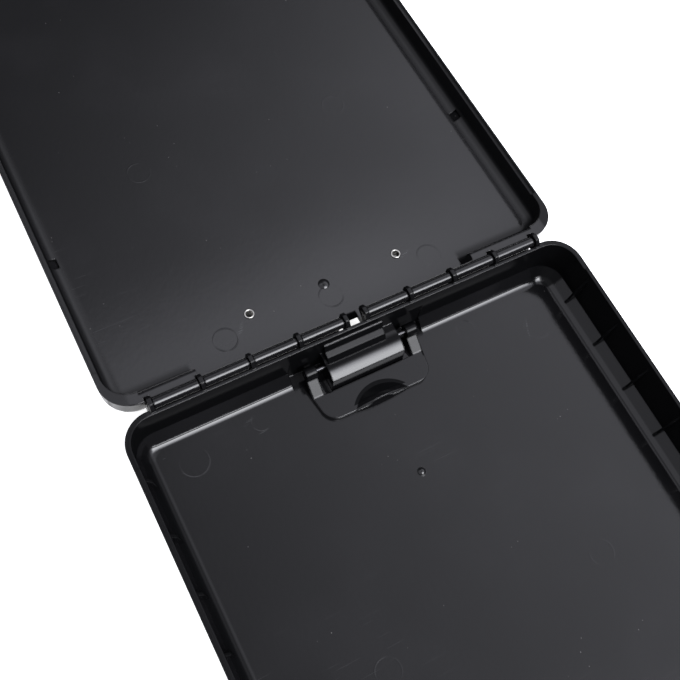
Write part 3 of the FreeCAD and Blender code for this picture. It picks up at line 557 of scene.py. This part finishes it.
def outward(points, faces):
    """The faces, turned round where their volume, the sum of a . (b x c), is negative."""
    fans = [(face[0], face[k], face[k + 1]) for face in faces for k in range(1, len(face) - 1)]
    corners = (points - points.mean(axis=0))[np.array(fans)]
    volume = np.einsum("ij,ij->", corners[:, 0], np.cross(corners[:, 1], corners[:, 2]))
    return [face[::-1] for face in faces] if volume < 0 else faces


print("a closed grid of 3 by 4 points has", len(grid_faces(3, 4, True)), "faces")

# %% [markdown]
# ## From points to a piece
# Writing whole arrays into the mesh is quick and keeps the shape's formula in view. The
# piece then rides on the moving body that carries it, and is given its slot of material.

# %% Grid to mesh
def surface(name, rows, finish, body, closed_rows=False, first=None, last=None):
    """A piece from rows of points: shape (rows, columns, 3), columns close round the piece."""
    count, around = rows.shape[:2]
    points = rows.reshape(-1, 3)
    faces = grid_faces(count, around, closed_rows)
    ring = np.arange(around)
    following = (ring + 1) % around
    if first is not None:
        points = np.vstack([points, first])
        faces += fan_faces(following, ring, len(points) - 1)
    if last is not None:
        points = np.vstack([points, last])
        end = (count - 1) * around
        faces += fan_faces(end + ring, end + following, len(points) - 1)
    mesh = bpy.data.meshes.new(name)
    mesh.from_pydata(points.tolist(), [], outward(points, faces))
    mesh.polygons.foreach_set("use_smooth", np.ones(len(mesh.polygons), dtype=bool))
    mesh.materials.append(finish.material)
    mesh.update()
    piece = bpy.data.objects.new(name, mesh)
    bpy.context.scene.collection.objects.link(piece)
    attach(piece, body)
    return piece


def around_circle(steps):
    """Angles once round a circle, without the last, which is the first again."""
    return np.linspace(0.0, 2 * math.pi, steps + 1)[:-1]


print("a circle of 4 steps turns to", around_circle(4).round(2))

# %% [markdown]
# ## The lid's tilt
# The opened lid rests on the table with its far edge, so it leans a little. Rivets, gate mark
# and the dark sheets of painted shade in the windows all lie square to the lid, so they are
# worked out flat, with the hinge axis as origin, and are then leaned by the same angle.

# %% Lean with the lid
hinge_y, hinge_z = 0.1748, 0.0281
panel_outside, panel_inside = -0.0158, -0.0135
lid_reach, lid_edge_round, table_gap = 0.3473, 0.009, 0.00015
lean = math.asin((hinge_z + panel_outside - table_gap) / (lid_reach - lid_edge_round))
along_lid = np.array([0.0, math.cos(lean), -math.sin(lean)])
out_of_lid = np.array([0.0, math.sin(lean), math.cos(lean)])
across = np.array([1.0, 0.0, 0.0])


def on_lid(x, reach, height):
    """A point of the leaned lid: x across, reach from the hinge axis, height over its rim."""
    return np.array([x, hinge_y, hinge_z]) + reach * along_lid + height * out_of_lid


print("lid leans by", round(math.degrees(lean), 3), "degrees")

# %% [markdown]
# ## Hollow rivets
# Two tubular rivets hold the paper clip to the lid. Inside the lid their tails are rolled
# outwards into a smooth ring round an open hole, which is what glints in the picture. A
# lathe shape suits them: one closed outline of radius and height, turned round the axis.

# %% Outline of a rivet
rivet_x, rivet_reach = 0.0407, 0.0285
bore, shank, roll, head = 0.00166, 0.00200, 0.00262, 0.00360
roll_height, roll_lift, clip_sheet = 0.0006, 0.00008, 0.0010


def rivet_outline():
    """Radius and height: a half circle over the roll, the shank, a flatter one under the head."""
    head_face = panel_outside - clip_sheet
    turn = np.linspace(0.0, math.pi, 15)
    roll_middle, roll_half = (bore + roll) / 2, (roll - bore) / 2
    head_middle, head_half = (bore + head) / 2, (head - bore) / 2
    over = np.stack([roll_middle - roll_half * np.cos(turn),
                     panel_inside + roll_lift + roll_height * np.sin(turn)], axis=1)
    under = np.stack([head_middle + head_half * np.cos(turn),
                      head_face - roll_height * np.sin(turn) ** 0.7], axis=1)
    neck = np.array([[shank, panel_inside], [shank, head_face]])
    return np.vstack([over, neck, under])


print("points in the rivet's outline:", len(rivet_outline()))

# %% [markdown] ## Turning the outline The outline is closed, so the turned shape closes on
# itself both ways, like a ring, and has no ends to cap. It is turned in the lid's own
# directions, so the rivet leans with the lid.

# %% Rivets
def rolled_rivet(side):
    """The closed outline turned round the rivet's axis, which stands square to the lid."""
    outline = rivet_outline()
    angle = around_circle(48)
    circle = np.stack([np.cos(angle), np.sin(angle)], axis=1)
    flat = outline[:, 0][None, :, None] * circle[:, None, :]
    height = np.broadcast_to(outline[:, 1], (len(angle), len(outline)))
    rows = (on_lid(side * rivet_x, rivet_reach, 0.0) + flat[..., 0:1] * across
            + flat[..., 1:2] * along_lid + height[..., None] * out_of_lid)
    name = "rolled_rivet_left" if side < 0 else "rolled_rivet_right"
    piece = surface(name, rows, rivet_nickel, "lid", closed_rows=True)
    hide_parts("left_clip_rivet" if side < 0 else "right_clip_rivet")
    return piece


rivets = [rolled_rivet(side) for side in (-1, 1)]
print("rivet points each:", len(rivets[0].data.vertices))

# %% [markdown]
# ## Painted shade under the snap windows
# Beside the lid's walls two small windows let the mould form a snap. In the picture the left
# one is black from the shade under the lid, so a thin dark sheet closes each window on the
# outside as painted shade. A flat plate would stand out of the rounded edge, so the sheet
# follows the edge's circle: its height is worked out for each place across, and a rounded
# rectangle is carried along that arc.

# %% Window skins
skin_near, skin_far, skin_reach, skin_half = 0.11222, 0.11648, 0.0920, 0.00273
skin_thick, skin_radius, edge_middle = 0.0008, 0.00895, 0.11055
corner_power = 0.25


def window_shade(side):
    """Height: edge round - root(radius radius - across across), then the skin's thickness."""
    x = np.linspace(skin_near, skin_far, 12)
    outside = panel_outside + lid_edge_round - np.sqrt(skin_radius ** 2 - (x - edge_middle) ** 2)
    angle = around_circle(32)
    wide = np.sign(np.cos(angle)) * np.abs(np.cos(angle)) ** corner_power
    tall = np.sign(np.sin(angle)) * np.abs(np.sin(angle)) ** corner_power
    reach = np.broadcast_to(skin_reach + skin_half * wide, (len(x), len(angle)))
    height = outside[:, None] + skin_thick / 2 + skin_thick / 2 * tall
    rows = (on_lid(0.0, 0.0, 0.0) + side * x[:, None, None] * across
            + reach[..., None] * along_lid + height[..., None] * out_of_lid)
    name = "window_shade_left" if side < 0 else "window_shade_right"
    return surface(name, rows, shade_sheet_plastic, "lid",
                   first=rows[0].mean(axis=0), last=rows[-1].mean(axis=0))


# The window sheets are painted shade: dark plastic with hardly any shine, where the lid's shade falls.
shade_sheet_plastic = moulded_plastic("window_shade_plastic", edge=None, gloss=0.55)
shade_sheet_plastic.set("Specular IOR Level", painted_shade_shine)
shade_skins = [window_shade(side) for side in (-1, 1)]
print("window skins:", [skin.name for skin in shade_skins])

# %% [markdown]
# ## Gate marks
# Where the molten plastic entered each mould it left a small nub, broken off almost flush:
# one in the middle of the lid's panel near the hinge, one in the tray's floor. They are
# low domes, which catch one dark and one bright side.

# %% Gate marks
sunk = 0.0002
dome_steps = np.array([0.04, 0.2, 0.35, 0.5, 0.62, 0.74, 0.84, 0.93, 1.0, 1.0])


def gate_mark(name, middle, normal, level, radius, height, body):
    """A cap of a ball whose radius is (r r + h h) / 2 h; its rim is sunk and closed underneath."""
    ball = (radius ** 2 + height ** 2) / (2 * height)
    lift = np.sqrt(ball ** 2 - (radius * dome_steps) ** 2) - (ball - height)
    lift[-1] = -sunk
    angle = around_circle(40)
    flat = np.cos(angle)[:, None] * level + np.sin(angle)[:, None] * np.cross(normal, level)
    rows = middle + radius * dome_steps[:, None, None] * flat[None] + lift[:, None, None] * normal
    return surface(name, rows[::-1], nub_plastic, body,
                   first=middle - sunk * normal, last=middle + height * normal)


nub_plastic = moulded_plastic("gate_mark_plastic", edge=None)
lid_gate = on_lid(-0.0004, 0.0283, panel_inside)
tray_gate, up = np.array([0.0, 0.1004, 0.0026]), np.array([0.0, 0.0, 1.0])
lid_nub = gate_mark("lid_gate_mark", lid_gate, out_of_lid, across,
                    radius=0.0029, height=0.0010, body="lid")
tray_nub = gate_mark("tray_gate_mark", tray_gate, up, across,
                     radius=0.0020, height=0.0009, body="tray")
print("gate marks:", lid_nub.name, tray_nub.name)

# %% [markdown]
# ## The table
# The photograph is a studio shot on white. A plain white table would turn grey in the shade
# of the case. A table that glows a little stays white under it, as a light table does.

# %% Table
table_half, under_case = 20.0, (0.0, 0.0, 0.0003)
table_mesh = bpy.data.meshes.new("table")
corners = table_half * np.array([(-1, -1, 0), (1, -1, 0), (1, 1, 0), (-1, 1, 0)]) - under_case
table_mesh.from_pydata(corners.tolist(), [], [(0, 1, 2, 3)])
table = bpy.data.objects.new("table", table_mesh)
bpy.context.scene.collection.objects.link(table)
table_finish = Finish("pale_table", (0.90, 0.90, 0.90), Roughness=0.8, Emission_Strength=0.85)
mottle = table_finish.noise(3.0)
table_finish.set("Base Color", table_finish.blend(mottle, (0.88, 0.88, 0.88), (0.92, 0.92, 0.92)))
table_finish.set("Emission Color", table_finish.blend(mottle, (0.98, 0.98, 0.98), (1.0, 1.0, 1.0)))
table_mesh.materials.append(table_finish.material)
print("table is", 2 * table_half, "m wide")

# %% [markdown]
# ## The light
# A pale ceiling, brighter to both sides and in a band behind the hinge, gives the flat
# panels their even sheen, and it fades to a dark horizon so that slopes and walls stay black.
# One softbox in front draws the bright lines along the hinge barrels, the seam and the
# spring housing, and a dim wall at the left keeps the outside of the case from turning
# black. Lamps could do this, but a studio far larger than the case is a function of
# direction alone, so it is written as one: each band below is a range of how far east,
# north or up a ray goes.

# %% Ceiling and softbox
softbox_strength, left_strength, wall_strength, dim_room = 12.4, 0.72, 0.65, 0.10
white_seen = 0.95

world = bpy.data.worlds.new("studio")
world.use_nodes = True
bpy.context.scene.world = world
studio = NodeSheet(world.node_tree)
direction = studio.node("ShaderNodeTexCoord", {}, {}, out="Generated")
east, north, upward = [studio.node("ShaderNodeSeparateXYZ", {}, {0: direction}, out=k) for k in range(3)]
to_the_right = (east * 1.9 + 0.25).maths("MAXIMUM", 0.10)
behind_hinge = north.ring(0.42, 0.11) * upward.band(0.74, 0.86)
at_left = (1 - east.band(-0.16, -0.01)) * left_strength
overhead = upward.band(0.38, 0.70) * (1 - north.band(0.50, 0.82) * 0.9)
ceiling = (to_the_right + behind_hinge + at_left) * overhead
in_front = (1 - north.band(-0.64, -0.12)) * east.band(-0.15, 0.02) * (1 - east.band(0.42, 0.60))
in_front = in_front * upward.band(0.53, 0.62)
left_wall = (1 - east.band(-0.95, -0.55)) * (1 - upward.band(0.35, 0.60)) * wall_strength
light = ceiling + in_front * softbox_strength + left_wall + dim_room
print("nodes of the light:", len(world.node_tree.nodes))

# %% [markdown]
# ## What the camera sees of the room
# The picture's background is plain white, and the room above is mostly dark. A ray that
# comes straight from the camera is therefore given a white of its own, while reflections
# still see the studio. The softbox is nearly white and the ceiling a little bluish.

# %% Background
background = world.node_tree.nodes["Background"]
seen = studio.node("ShaderNodeLightPath", {}, {}, out="Is Camera Ray")
tint = studio.blend(in_front, (0.965, 0.97, 1.06), (0.98, 0.99, 1.03))
studio.plug(background.inputs["Strength"], light.maths("MAXIMUM", seen * white_seen))
studio.plug(background.inputs["Color"], studio.blend(seen, tint, (1.0, 1.0, 1.0)))
bpy.context.scene.view_settings.view_transform = "Standard"
print("studio nodes:", len(world.node_tree.nodes))
